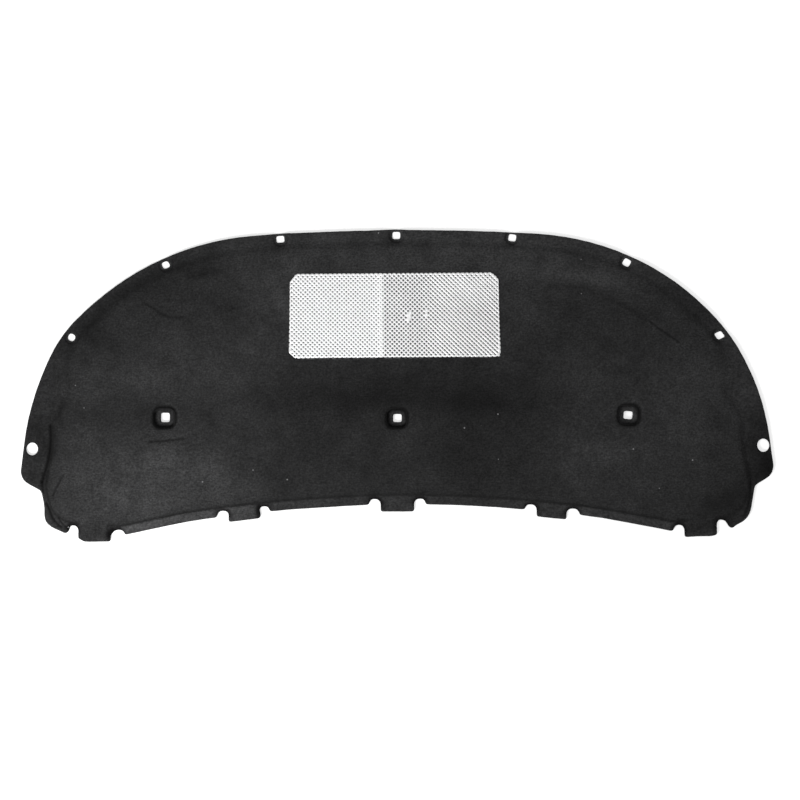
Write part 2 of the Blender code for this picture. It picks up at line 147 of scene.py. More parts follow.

# Broad painted light and shade over the felt, partly its own uneven tone: centre, half sizes, change
LIGHT_AND_TONE_PATCHES = (
    (60, 232, 360, 46, 1.00),
    (0, 235, 420, 16, -0.10),
    (350, 184, 90, 24, 0.60),
    (-188, 150, 44, 58, 0.72),
    (207, 140, 27, 58, 0.48),
    (-452, 115, 32, 28, 0.22),
    (-335, 205, 45, 18, -0.30),
    (-502, 76, 30, 14, -0.22),
    (-560, 60, 60, 120, -0.15),
    (-290, 50, 100, 56, 0.50),
    (-450, 8, 90, 42, 0.52),
    (-590, 0, 40, 50, 0.25),
    (-405, -38, 38, 20, -0.36),
    (-400, -122, 44, 30, 0.40),
    (-305, -135, 46, 42, 0.62),
    (-320, -90, 130, 60, 0.12),
    (-470, -150, 130, 70, 0.55),
    (-450, -188, 46, 22, 0.35),
    (-350, -188, 100, 54, 0.60),
    (-530, -222, 90, 45, 0.50),
    (-612, -110, 26, 70, -0.35),
    (20, -8, 250, 42, -0.34),
    (110, -35, 110, 45, -0.16),
    (150, -34, 66, 16, -0.20),
    (-8, -27, 60, 15, -0.16),
    (-135, -28, 80, 18, -0.18),
    (130, -130, 80, 66, -0.32),
    (200, -70, 150, 60, -0.12),
    (420, 60, 150, 90, -0.08),
    (310, 5, 46, 40, 0.46),
    (505, -20, 90, 100, 0.50),
    (350, -122, 76, 52, 0.52),
    (592, -8, 26, 46, 0.22),
    (620, -130, 50, 80, -0.45),
    (630, -135, 20, 44, -0.36),
    (548, -205, 30, 16, -0.25),
    (560, -225, 60, 40, -0.22),
)

# Shade of the step round the body: smoothing passes, the steepness of its full shade,
# how dark it is, and changes of that: centre, half sizes, change
STEP_PASSES = 14
STEP_STEEPNESS = 0.24
STEP_SHADE = 0.62
STEP_CHANGES = (
    (0, -205, 190, 40, -0.20),
    (610, -90, 70, 150, -0.56),
    (-590, 0, 60, 70, -0.36),
    (0, 260, 700, 110, -0.34),
    (470, 140, 120, 90, -0.30),
    (575, 30, 60, 60, -0.48),
)

# Lie of the soft pad on the floor: centre, half size, shift
SHIFTS = (
    (-560, 80, 60, (-1.6, 1.0)),
    (555, 95, 95, (-2.0, -1.5)),
    (-602, -192, 30, (3.4, 0.0)),
    (-590, -224, 13, (-2.2, -0.8)),
    (-564, -241, 12, (6.0, -1.0)),
    (-541, -258, 7, (0.0, 2.6)),
    (-484, -246, 6, (1.5, -1.2)),
    (568, -238, 14, (-4.5, 0.0)),
    (571, -248, 7, (2.6, -0.8)),
    (550, -234, 8, (-2.0, 1.0)),
    (477, -238, 11, (1.2, 1.6)),
    (520, -255, 24, (0.0, 1.4)),
    (-468, -250, 10, (4.5, 1.0)),
    (-345, -228, 60, (0.0, 1.7)),
    (-290, -212, 9, (1.4, 0.8)),
    (-238, -220, 12, (4.0, 0.8)),
    (-120, -205, 50, (0.0, -0.9)),
    (304, -222, 8, (3.0, 0.0)),
    (336, -226, 50, (0.0, 1.2)),
    (0, 262, 26, (0.0, 1.2)),
    (-196, 262, 26, (0.0, 1.0)),
)

# Holes as they are cut: place in the part, shift, size against the part's, turn in degrees,
# and how round the corners are
HOLES = (
    (-619, -106, 0.6, 2.2, 0.92, 0.92, 0, 0),
    (619, -106, 2.2, -1.0, 0.96, 0.96, 0, 0),
    (-551, 83, 2.0, 0.9, 0.93, 0.97, 12, 12),
    (551, 83, -0.4, -1.4, 1.10, 0.91, -8, 0),
    (-392, 206, 2.7, 0.4, 0.99, 0.90, 0, 8),
    (392, 206, -0.3, -1.4, 1.01, 0.96, -6, 2),
    (-197, 249, 2.1, -0.95, 1.05, 0.86, 2, 0),
    (197, 249, 1.2, -0.7, 1.00, 0.92, -6, 0),
    (0, 254, 1.7, -1.6, 1.03, 0.93, 0, 0),
    (-393, -54, 0.8, 1.4, 0.93, 0.98, 0, 0),
    (393, -54, -0.8, -0.6, 0.95, 0.82, -5, 0),
    (0, -57, 1.2, 0.25, 0.89, 0.84, -1, 0),
)

# Pressed seats in the body: centre and half sizes of the groove round each
SEATS = (
    (-392.1, -52.3, 18.1, 17.0),
    (1.2, -56.2, 17.0, 16.0),
    (392.5, -53.8, 18.1, 17.1),
)
SEAT_ROUND = 12.0
SEAT_REACH = 9.0
SEAT_MESH_REACH = 24.0

# Groove round a seat, and its change from the right front, where GROOVE_SIDE points, to the
# left rear
GROOVE_SIDE = (0.75, 0.65)
GROOVE_SHIFT = 0.4
GROOVE_DEPTH = 0.8
GROOVE_WIDTH = 3.1
GROOVE_WIDTH_CHANGE = 0.35
GROOVE_SHADE = 0.90
GROOVE_SHADE_CHANGE = 0.06

# Light beside a groove: distance from its middle, half width, change; and on the floor inside
# it: start, run, change
GROOVE_RIM = (5.5, 2.0, 0.25)
GROOVE_SHADOW = (4.0, 3.0, -0.25)
GROOVE_FLOOR = (2.5, 2.0, 0.45)

# Pressed dimples round the holes along the front edge
FRONT_HOLE_LENGTH = 55.0
DIMPLE_MESH_REACH = 16.0
DIMPLE_REACH = 12.5
DIMPLE_WALL = 2.5
DIMPLE_DEPTH = 1.6

# Light in a dimple: distance from the hole's middle, half width, change
DIMPLE_SHADOW = (12.0, 2.0, -0.62)
DIMPLE_RIM = (8.6, 1.4, 0.22)

# Share of a dimple's shadow: all round, less away from the pad's middle, less to the right
SHADOW_SIDES = (0.35, 0.65, 0.35)

# Rims of the rear notches, pressed down and darkened with painted shade
NOTCH_WIDTH = 5.2
NOTCH_DEPTH = 0.5
NOTCH_PAINTED_SHADE = 0.92

# Smoothing passes of the relief: the fewest, how many more at the front, and where they start
# to rise and over how far
SOFT_LEAST = 3
SOFT_MORE = 40
SOFT_START = -130.0
SOFT_RUN = 190.0

# Unevenness of the surface and of its back: height, size, seed
RELIEF_GRAIN = ((0.20, 14, 3.0), (0.16, 5, 9.0))
BACK_GRAIN = (0.5, 40, 15.0)
BACK_TONE = 0.9

# Unevenness of a cut through fibres: share, size, seed
CUT_GRAIN = ((0.7, 16, 21.0), (0.5, 4, 33.0))

# Painted light on the lip along the rear: where it lies, where its left and right ends start and
# # how long they are, and how much paler it is in the middle and how much more at each end
LIP_FRONT = -170.0
LIP_TOP = 6.2
LIP_HALF_LENGTH = 470.0
LIP_LEFT = (120.0, 300.0)
LIP_RIGHT = (220.0, 100.0)
LIP_PAINTED_LIGHT = (1.40, 0.75, 0.25)

# Painted shade along the cut edge of the lip: its width, how dark it is there, and its patches
EDGE_SHADE_WIDTH = 3.4
LIP_EDGE_PAINTED_SHADE = (0.15, 0.25, 0.20)
EDGE_SHADE_PATCHES = (0.6, 1.2, 12, 27.0)

# Foil: its level in the part, spacings and unevenness of its edge, its gap over the felt, how
# wide a place of the felt carries it, its thickness, smoothing passes, and shifts as it lies
FOIL_TOP = 14.3
FOIL_EDGE_SPACING = 0.8
FOIL_RIM_SPACING = 0.5
FOIL_RAGGED = 0.25
FOIL_GAP = 0.45
FOIL_FOOT = 2.5
FOIL_SKIN = 0.25
FOIL_PASSES = 4
FOIL_SHIFTS = (
    (-110, 42, 65, (0.0, 1.5)),
    (0, 42, 65, (0.0, 1.3)),
    (110, 42, 65, (0.0, 1.1)),
    (176, 46, 12, (-0.6, 0.8)),
    (168, 184, 7, (1.2, 1.2)),
    (175, 120, 60, (-0.8, 0.0)),
)

# Felt seen through the foil's dots, paler by painted light where the sheet's dots shine: how much
# # paler, and how far inside the foil's edge
PAINTED_LIGHT_UNDER_FOIL = 5.4
PAINTED_LIGHT_UNDER_FOIL_INSET = 0.02

# Folds of the foil: the ridge, two dents with height and place, a fan of low waves at the
# right, and ripples
FOIL_RIDGE = -25.5
RIDGE_WIDTH = 6.0
RIDGE_HEIGHT = 0.9
DENTS = ((1.1, (22, 117, 3.4, 9, -12)), (0.8, (52, 121, 3.0, 5, -12)))
DENT_SHUTS_DOTS = 0.35
FAN_HEIGHT = 0.15
FAN_SLANT = 0.95
FAN_LENGTH = 9.0
FAN_START = 40.0
FAN_RUN = 60.0
RIPPLE_HEIGHT = 0.25
RIPPLE_SIZE = 30
RIPPLE_SEED = 5.0

# Tone of the foil: a painted highlight along the ridge, darker from there on: run, change; and
# # darker still at the right: start, run, change
RIDGE_PAINTED_HIGHLIGHT = 0.04
RIDGE_SHINE_WIDTH = 3.5
DARKER_MIDDLE = (10.0, 0.03)
DARKER_RIGHT = (20.0, 110.0, 0.13)

# Dots of the foil: their spacing, shape and distance from the edge
DOT_ACROSS = 7.7
DOT_ALONG = 7.4
DOT_SIDES = 8
DOT_BEYOND = 2.0
DOT_EDGE_MARGIN = 0.3
DOT_EDGE_SHARE = 1.3
BETWEEN_EDGE_MARGIN = 1.5
BITE_SHARE = 0.5

# Radius of the dots: wider in the middle, from beside the ridge, and at the right, with start
# or end and run of each, and smaller in one corner and on the ridge
DOT_RADIUS = 1.43
DOT_MIDDLE = 0.42
DOT_MIDDLE_START = (3.0, 4.0)
DOT_MIDDLE_END = (75.0, 40.0)
DOT_RIGHT = 0.18
DOT_RIGHT_START = (20.0, 60.0)
DOT_CORNER = 0.16
DOT_CORNER_PLACE = (135, 168, 60, 22)
DOT_ON_RIDGE = 0.30

# Dots drawn into short slots at the right: how much, start and run, and the direction
SLOT_STRETCH = 0.45
SLOT_START = (35.0, 40.0)
SLOT_DIRECTION = (0.76, -0.65)


def hump(distance, width):
    """1 in the middle, and falling smoothly to 0 within about twice the width."""
    return np.exp(-((distance / width) ** 2))


def rise(distance, run):
    """0 up to the start, 1 from the end of the run, and a straight slope between."""
    return np.clip(distance / run, 0, 1)


def bell(places, x, y, half_x, half_y, turn=0.0):
    """A smooth hill of height 1 over the given place."""
    c, s = cos(radians(turn)), sin(radians(turn))
    u = ((places[:, 0] - x) * c + (places[:, 1] - y) * s) / half_x
    v = (-(places[:, 0] - x) * s + (places[:, 1] - y) * c) / half_y
    return np.exp(-(u * u + v * v))


def grain(places, scale, seed):
    return np.array([noise.noise((x / scale, y / scale, seed)) for x, y in places])


def welded(node):
    """The node's corners in millimetres, each once, and its triangles."""
    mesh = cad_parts[node].data
    places = np.array([v.co for v in mesh.vertices]) / MM
    rounded = np.round(places, 3)
    _, where, inverse = np.unique(rounded, axis=0, return_index=True, return_inverse=True)
    inverse = inverse.reshape(-1)
    triangles = [tuple(inverse[list(p.vertices)]) for p in mesh.polygons]
    return places[where], triangles


def flat_loops(node, level):
    """Closed outlines of the node's flat faces at one height, the longest first."""
    places, triangles = welded(node)
    sides = set()
    for triangle in triangles:
        if all(abs(places[i][2] - level) < LEVEL_SLACK for i in triangle):
            sides.update(zip(triangle, triangle[1:] + triangle[:1]))
    ahead = {a: b for a, b in sides if (b, a) not in sides}
    loops = []
    while ahead:
        start, here = ahead.popitem()
        loop = [start, here]
        while here != start:
            here = ahead.pop(here)
            loop.append(here)
        loops.append(places[loop[:-1], :2])
    return sorted(loops, key=lambda loop: -loop_length(loop))


def loop_length(loop):
    return float(np.hypot(*(np.roll(loop, -1, 0) - loop).T).sum())


def signed_area(loop):
    ahead = np.roll(loop, -1, 0)
    return float((loop[:, 0] * ahead[:, 1] - ahead[:, 0] * loop[:, 1]).sum() / 2)


def even_loop(loop, spacing, eases=2):
    """The loop counter-clockwise with even spacing, its corners eased as cut felt has them."""
    closed = np.vstack([loop, loop[:1]])
    along = np.concatenate([[0], np.cumsum(np.hypot(*np.diff(closed, axis=0).T))])
    count = max(8, round(along[-1] / spacing))
    stations = np.arange(count) * along[-1] / count
    points = np.stack([np.interp(stations, along, closed[:, i]) for i in (0, 1)], 1)
    points = eased(points, eases)
    return points if signed_area(points) > 0 else points[::-1]


def eased(loop, passes):
    """The loop with its corners rounded, more with each pass."""
    for _ in range(passes):
        loop = loop * (1 - 2 * EASE) + (np.roll(loop, 1, 0) + np.roll(loop, -1, 0)) * EASE
    return loop


def left_normals(loop):
    tangent = np.roll(loop, -1, 0) - np.roll(loop, 1, 0)
    tangent = tangent / np.maximum(np.hypot(*tangent.T), 1e-6)[:, None]
    return np.stack([-tangent[:, 1], tangent[:, 0]], 1)


def ragged(loop, amount):
    """The loop with the small unevenness of a cut through fibres."""
    waver = sum(share * grain(loop, size, seed) for share, size, seed in CUT_GRAIN)
    return loop + left_normals(loop) * (waver * amount)[:, None]


def ways(loops):
    """1 for the outer loop, whose left side is felt, and -1 for each hole."""
    return [1] + [-1] * (len(loops) - 1)


def inset(loops, distance):
    """The loops moved into the felt by the distance."""
    return [loop + left_normals(loop) * way * distance for loop, way in zip(loops, ways(loops))]


def as_cut(loop):
    """A hole's loop with its own small shift, size, turn and roundness."""
    centre = loop.mean(0)
    for x, y, shift_x, shift_y, size_x, size_y, turn, eases in HOLES:
        if np.hypot(centre[0] - x, centre[1] - y) < HOLE_SLACK:
            loop = eased(loop, eases)
            c, s = cos(radians(turn)), sin(radians(turn))
            spread = (loop - centre) * (size_x, size_y)
            return centre + (shift_x, shift_y) + spread @ np.array(((c, s), (-s, c)))
    return loop


def line_distance(places, line):
    """Distance from each place to an open line through the given points."""
    nearest = np.full(len(places), np.inf)
    line = np.asarray(line, float)
    for a, b in zip(line, line[1:]):
        run = b - a
        share = np.clip(((places - a) @ run) / (run @ run), 0, 1)
        nearest = np.minimum(nearest, np.hypot(*(places - a - share[:, None] * run).T))
    return nearest


def inside_loop(places, loop):
    """Whether each place lies inside the loop, by counting the sides to its right."""
    x, y = places[:, 0], places[:, 1]
    found = np.zeros(len(places), bool)
    for (ax, ay), (bx, by) in zip(loop, np.roll(loop, -1, 0)):
        if ay != by:
            crossing = (ay > y) != (by > y)
            found ^= crossing & (x < (bx - ax) * (y - ay) / (by - ay) + ax)
    return found


def felt_inside(places, loops):
    """Whether each place lies on the felt, and not in a hole or outside."""
    inside = inside_loop(places, loops[0])
    for hole in loops[1:]:
        inside &= ~inside_loop(places, hole)
    return inside


class Nearness:
    """Distances to the nearest of some points."""

    def __init__(self, points):
        self.tree = KDTree(len(points))
        for index, point in enumerate(points):
            self.tree.insert((point[0], point[1], 0), index)
        self.tree.balance()

    def __call__(self, places):
        return np.array([self.tree.find((x, y, 0))[2] for x, y in places])

    def index(self, places):
        return np.array([self.tree.find((x, y, 0))[1] for x, y in places], int)


def cad_surface(node, places):
    """Height and steepness of the node's top under each place; a flat place has steepness 0."""
    corners, triangles = welded(node)
    tree = BVHTree.FromPolygons([Vector(c) for c in corners], triangles)
    heights = np.zeros(len(places))
    steepness = np.zeros(len(places))
    for index, (x, y) in enumerate(places):
        point, normal, _, _ = tree.ray_cast(Vector((x, y, ABOVE)), DOWN)
        if point and abs(normal.z) > LEAST_UPWARD:
            heights[index] = point.z
            steepness[index] = 1 - abs(normal.z)
    found = heights > LOWEST_TOP
    beside = Nearness(places[found]).index(places[~found])
    heights[~found] = heights[found][beside]
    steepness[~found] = steepness[found][beside]
    return heights, steepness


def mesh_smoother(triangles, count):
    """A function that evens out values over the mesh, with more passes where it is softer."""
    t = np.asarray(triangles)
    a = np.concatenate([t[:, 0], t[:, 1], t[:, 2], t[:, 1], t[:, 2], t[:, 0]])
    b = np.concatenate([t[:, 1], t[:, 2], t[:, 0], t[:, 0], t[:, 1], t[:, 2]])
    near = np.maximum(np.bincount(a, minlength=count), 1)

    def smooth(values, passes):
        for number in range(int(np.max(passes))):
            mean = np.bincount(a, weights=values[b], minlength=count) / near
            values = np.where(passes > number, values * KEPT + mean * (1 - KEPT), values)
        return values

    return smooth


def triangulated(loops, inside):
    """Triangles between the outer loop and the holes, through the points inside."""
    points = [Vector(p) for loop in loops for p in loop]
    starts = np.cumsum([0] + [len(loop) for loop in loops])
    areas = [list(range(a, b)) for a, b in zip(starts, starts[1:])]
    points += [Vector(p) for p in inside]
    corners, _, faces, sources, _, face_sources = delaunay_2d_cdt(points, [], areas, 1, SAME_POINT)
    places = np.array([tuple(v) for v in corners])
    triangles = [tuple(face) for face, source in zip(faces, face_sources) if list(source) == [0]]
    index_of = {source: index for index, origin in enumerate(sources) for source in origin}
    rings = [[index_of[k] for k in range(a, b)] for a, b in zip(starts, starts[1:])]
    return places, triangles, rings


def lattice(loop, spacing):
    """Points of an even triangle pattern over the loop's box."""
    low, high = loop.min(0), loop.max(0)
    rows = []
    for number, y in enumerate(np.arange(low[1], high[1], spacing * sin(pi / 3))):
        xs = np.arange(low[0] + (number % 2) * spacing / 2, high[0], spacing)
        rows.append(np.stack([xs, np.full(len(xs), y)], 1))
    return np.vstack(rows)


def wall_places():
    """Places spread over the steep faces of the felt node."""
    corners, triangles = welded("felt_pad")
    found = []
    for a, b, c in triangles:
        p, q, r = corners[a], corners[b], corners[c]
        normal = np.cross(q - p, r - p)
        flatness = abs(normal[2]) / max(np.linalg.norm(normal), 1e-9)
        if STEEPEST_WALL < flatness < FLATTEST_WALL:
            longest = max(np.linalg.norm(q - p), np.linalg.norm(r - q), np.linalg.norm(p - r))
            count = int(longest / WALL_SPACING) + 2
            for i in range(count + 1):
                for j in range(count + 1 - i):
                    found.append(p + (q - p) * i / count + (r - p) * j / count)
    return found


def front_holes(loops):
    """Centres of the small holes along the front edge."""
    centres = [loop.mean(0) for loop in loops[1:] if loop_length(loop) < FRONT_HOLE_LENGTH]
    return [centre for centre in centres if centre[1] > FRONT_ZONE]


def round_spots(loops):
    """Centres of the small front holes and of the seats, with the reach of their relief."""
    holes = [(*centre, DIMPLE_MESH_REACH) for centre in front_holes(loops)]
    return holes + [(x, y, SEAT_MESH_REACH) for x, y, _, _ in SEATS]


def felt_points(loops):
    """Points inside the felt: close together at steps, seats and creases, wider elsewhere."""
    to_edge = Nearness(np.vstack(loops))
    to_wall = Nearness(wall_places())
    finest = np.vstack([
        lattice(np.array(((x - reach, y - reach), (x + reach, y + reach))), FINEST)
        for x, y, reach in round_spots(loops)
    ])
    finest = finest[(to_edge(finest) > FINEST_CLEAR) & felt_inside(finest, loops)]
    fine = lattice(loops[0], FINE)
    to_line = np.min([line_distance(fine, line) for _, _, _, line in CREASES], axis=0)
    fine = fine[(to_line < CREASE_REACH) | (to_wall(fine) < WALL_REACH)]
    fine = fine[(to_edge(fine) > FINE_CLEAR) & (Nearness(finest)(fine) > FINE_APART)]
    close = np.vstack([fine, finest])
    coarse = lattice(loops[0], COARSE)
    coarse = coarse[(to_edge(coarse) > COARSE_CLEAR) & (Nearness(close)(coarse) > COARSE_APART)]
    points = np.vstack([close, coarse])
    points = points + np.random.default_rng(SEED).uniform(-JITTER, JITTER, points.shape)
    points = points[felt_inside(points, loops)]
    rims = [rim[::2] for rim in inset(loops, INNER_RIM)]
    return np.vstack([points] + inset(loops, OUTER_RIM) + rims)


def hollow_points(loop):
    """Points of the outline in the rear notches, where it bends inwards."""
    back = loop - np.roll(loop, BEND_REACH, 0)
    ahead = np.roll(loop, -BEND_REACH, 0) - loop
    turn = back[:, 0] * ahead[:, 1] - back[:, 1] * ahead[:, 0]
    bend = turn / (np.hypot(*back.T) * np.hypot(*ahead.T))
    return loop[(bend < -LEAST_BEND) & (loop[:, 1] < REAR_ZONE)]


def seat_distance(places, seat):
    """Distance from the middle of a seat's groove, a rectangle with round corners."""
    x, y, half_x, half_y = seat
    beyond = np.abs(places - (x, y)) - (half_x - SEAT_ROUND, half_y - SEAT_ROUND)
    outside = np.hypot(*np.maximum(beyond, 0).T)
    return outside + np.minimum(beyond.max(1), 0) - SEAT_ROUND


def softness_of(places):
    """Smoothing passes: few at the rear edge and round the seats, many along the front."""
    passes = SOFT_LEAST + rise(places[:, 1] - SOFT_START, SOFT_RUN) * SOFT_MORE
    for seat in SEATS:
        passes = np.where(seat_distance(places, seat) < SEAT_REACH, SOFT_LEAST, passes)
    return passes


def stepped(places, triangles):
    """Smoothed height of the part at each place, and the light that its step leaves there."""
    smooth = mesh_smoother(triangles, len(places))
    passes = softness_of(places)
    heights, steepness = cad_surface("felt_pad", places)
    heights = smooth(heights, passes)
    for seat in SEATS:
        steepness = np.where(seat_distance(places, seat) < SEAT_REACH, 0, steepness)
    steepness = smooth(steepness, np.minimum(passes, STEP_PASSES))
    shade = np.full(len(places), STEP_SHADE)
    for x, y, half_x, half_y, change in STEP_CHANGES:
        shade += change * bell(places, x, y, half_x, half_y)
    return heights, 1 - np.clip(shade, 0, 1) * rise(steepness, STEP_STEEPNESS)


def seat_grooves(places):
    """Depth and light of the grooves, a little wider and darker at each seat's right and front."""
    depth = np.zeros(len(places))
    light = np.ones(len(places))
    for seat in SEATS:
        distance = seat_distance(places, seat)
        out = places - seat[:2]
        front_right = GROOVE_SIDE[0] * out[:, 0] + GROOVE_SIDE[1] * out[:, 1]
        side = -front_right / np.maximum(np.hypot(*out.T), 1)
        distance -= GROOVE_SHIFT * side
        band = hump(distance, GROOVE_WIDTH - GROOVE_WIDTH_CHANGE * side)
        depth += GROOVE_DEPTH * band
        light *= 1 - (GROOVE_SHADE - GROOVE_SHADE_CHANGE * side) * band
        for (away, width, change), there in ((GROOVE_RIM, -side), (GROOVE_SHADOW, side)):
            light *= 1 + change * hump(distance - away, width) * np.clip(there, 0, 1)
        start, run, change = GROOVE_FLOOR
        light *= 1 + change * rise(-distance - start, run)
    return depth, light


def press_folds(places, heights, light):
    """Lays the broad waves and presses the creases, with the light that they leave."""
    for x, y, half_x, half_y, turn, height in WAVES:
        heights += height * bell(places, x, y, half_x, half_y, turn)
    for half_width, depth, share, line in CREASES:
        fold = hump(line_distance(places, line), half_width)
        heights -= depth * fold
        light *= 1 - (1 - share) * fold


def press_dimples(loops, places, heights, light):
    """Presses the dimples round the front holes, with a shadow and a paler rim in each."""
    everywhere, outward, rightward = SHADOW_SIDES
    for centre in front_holes(loops):
        away = np.hypot(*(places - centre).T)
        wall = rise(DIMPLE_REACH - away, DIMPLE_WALL)
        heights -= DIMPLE_DEPTH * wall * wall * (3 - 2 * wall)
        out = (places - centre) / np.maximum(away, 1)[:, None]
        shaded = everywhere - outward * out @ (centre / np.hypot(*centre)) - rightward * out[:, 0]
        distance, width, change = DIMPLE_SHADOW
        light *= 1 + change * hump(away - distance, width) * np.clip(shaded, 0, 1)
        distance, width, change = DIMPLE_RIM
        light *= 1 + change * hump(away - distance, width)


def felt_relief(loops, places, triangles):
    """Height of the felt at each place, and the share of light that its folds leave there."""
    heights, light = stepped(places, triangles)
    depth, shade = seat_grooves(places)
    heights -= depth
    light *= shade
    press_folds(places, heights, light)
    press_dimples(loops, places, heights, light)

    # Painted shade on the rims of the rear notches
    rim = hump(Nearness(hollow_points(loops[0]))(places), NOTCH_WIDTH)
    heights -= NOTCH_DEPTH * rim
    light *= 1 - NOTCH_PAINTED_SHADE * rim

    heights += sum(height * grain(places, size, seed) for height, size, seed in RELIEF_GRAIN)
    to_edge = Nearness(np.vstack(loops))(places)
    ease = np.clip(1 - to_edge / CUT_ROUND, 0, 1)
    heights -= CUT_DROP * (1 - np.sqrt(1 - CUT_UPRIGHT * ease ** 2))
    # Painted light along the rounded edges
    light *= 1 + CUT_PAINTED_LIGHT * ease
    return np.maximum(heights, CUT_FLOOR), light


def felt_light_and_tone(places, heights, to_edge):
    """Broad painted light and shade with the felt's own tone, painted light under the foil's dots, and
    painted light on the rear lip with painted shade along its cut edge.
    """
    x, y = places[:, 0], places[:, 1]
    tone = np.ones(len(places))
    for centre_x, centre_y, half_x, half_y, change in LIGHT_AND_TONE_PATCHES:
        tone += change * bell(places, centre_x, centre_y, half_x, half_y)
    # Painted light on the felt under the foil's dots
    sheet = flat_loops("foil_heat_shield", FOIL_TOP)[0]
    inner = sheet * (1 - PAINTED_LIGHT_UNDER_FOIL_INSET) + sheet.mean(0) * PAINTED_LIGHT_UNDER_FOIL_INSET
    tone *= np.where(inside_loop(places, inner), PAINTED_LIGHT_UNDER_FOIL, 1.0)

    left = rise(-x - LIP_LEFT[0], LIP_LEFT[1])
    right = rise(x - LIP_RIGHT[0], LIP_RIGHT[1])
    base, change, size, seed = EDGE_SHADE_PATCHES
    patches = np.clip(base + change * grain(places, size, seed), 0, 1)
    edge_shade_share = hump(to_edge, EDGE_SHADE_WIDTH) * patches
    # Painted light on the rear lip, and painted shade along its cut edge
    lip_light = LIP_PAINTED_LIGHT[0] + LIP_PAINTED_LIGHT[1] * left + LIP_PAINTED_LIGHT[2] * right
    edge_shade = (LIP_EDGE_PAINTED_SHADE[0] + LIP_EDGE_PAINTED_SHADE[1] * left + LIP_EDGE_PAINTED_SHADE[2] * right) * edge_shade_share
    lip = (y < LIP_FRONT) & (heights < LIP_TOP) & (np.abs(x) < LIP_HALF_LENGTH)
    return tone * np.where(lip, lip_light * (1 - edge_shade), 1.0)


def lie(places, shifts=SHIFTS):
    """Places shifted as the soft pad lies, a little uneven at its edges."""
    moved = places.copy()
    for x, y, half, shift in shifts:
        moved += bell(places, x, y, half, half)[:, None] * np.array(shift)
    return moved


def added(name, data):
    """A new object in the scene."""
    thing = bpy.data.objects.new(name, data)
    bpy.context.scene.collection.objects.link(thing)
    return thing


def dressed(name, data, tone, material):
    """A new smooth piece of the mesh, with its material and the tone and painted light it reads."""
    data.shade_smooth()
    values = np.asarray(tone, np.float32)
    data.attributes.new("tone", "FLOAT", "POINT").data.foreach_set("value", values)
    data.materials.append(material)
    return added(name, data)


def closed_mesh(name, places, triangles, rings, loops, heights):
    """A closed mesh: the relief on top, walls at every loop and a nearly flat back."""
    mesh = bmesh.new()
    top = [mesh.verts.new((x * MM, y * MM, z * MM)) for (x, y), z in zip(lie(places), heights)]
    for a, b, c in triangles:
        mesh.faces.new((top[a], top[b], top[c]))
    feet = inset(loops, FOOT_INSET)
    lowest = []
    for ring, loop, foot, way in zip(rings, loops, feet, ways(loops)):
        upper = [top[k] for k in ring]
        middle = [mesh.verts.new((x * MM, y * MM, WALL_FOOT * MM)) for x, y in lie(loop)]
        lower = [mesh.verts.new((x * MM, y * MM, 0.0)) for x, y in lie(foot)]
        for one, two in ((upper, middle), (middle, lower)):
            for k in range(len(loop)):
                quad = (one[k - 1], two[k - 1], two[k], one[k])
                mesh.faces.new(quad if way == 1 else quad[::-1])
        lowest.append(lower)

    inside = lattice(feet[0], BACK_SPACING)
    inside = inside[Nearness(np.vstack(feet))(inside) > BACK_SPACING / 2]
    back_places, back_triangles, back_rings = triangulated(feet, inside)
    back = {k: v for ring, lower in zip(back_rings, lowest) for k, v in zip(ring, lower)}
    depth, size, seed = BACK_GRAIN
    hollow = depth + depth * grain(back_places, size, seed)
    for index, (x, y) in enumerate(lie(back_places)):
        if index not in back:
            back[index] = mesh.verts.new((x * MM, y * MM, hollow[index] * MM))
    for a, b, c in back_triangles:
        mesh.faces.new((back[c], back[b], back[a]))
    data = bpy.data.meshes.new(name)
    mesh.to_mesh(data)
    mesh.free()
    return data


def make_felt():
    """The pad as one soft closed piece."""
    loops = flat_loops("felt_pad", 0.0)
    edge = ragged(even_loop(loops[0], EDGE_SPACING), RAGGED)
    holes = [ragged(as_cut(even_loop(hole, HOLE_SPACING)), RAGGED / 2) for hole in loops[1:]]
    loops = [edge] + holes
    places, triangles, rings = triangulated(loops, felt_points(loops))
    heights, light = felt_relief(loops, places, triangles)
    data = closed_mesh("felt", places, triangles, rings, loops, heights)
    tone = np.full(len(data.vertices), BACK_TONE)
    # Painted light and shade of the relief, times the painted light and tone of the patches
    tone[:len(places)] = light * felt_light_and_tone(places, heights, Nearness(loops[0])(places))
    return dressed("felt", data, tone, felt_material())


def dot_radius(spots):
    """The punched dots are wider in the stretched middle and smaller at the pressed corner."""
    x = spots[:, 0]
    beside, run = DOT_MIDDLE_START
    end, fade = DOT_MIDDLE_END
    middle = rise(x - FOIL_RIDGE - beside, run) * rise(end - x, fade)
    start, run = DOT_RIGHT_START
    radius = DOT_RADIUS + DOT_MIDDLE * middle + DOT_RIGHT * rise(x - start, run)
    radius *= 1 - DOT_CORNER * bell(spots, *DOT_CORNER_PLACE)
    return radius * (1 - DOT_ON_RIDGE * hump(x - FOIL_RIDGE, RIDGE_SHINE_WIDTH))


def pressed_shut(spots):
    """Whether each dot lies in one of the two small dents, which close it."""
    return np.max([bell(spots, *place) for _, place in DENTS], axis=0) > DENT_SHUTS_DOTS


def dot_stretch(spot):
    """Turns round dots into short slots where the sheet is drawn towards its corner."""
    start, run = SLOT_START
    share = SLOT_STRETCH * rise(spot[0] - start, run)
    along = np.array(SLOT_DIRECTION)
    across = np.array((-along[1], along[0]))
    return np.outer(along, along) * (1 + share) + np.outer(across, across) * (1 - share / 3)


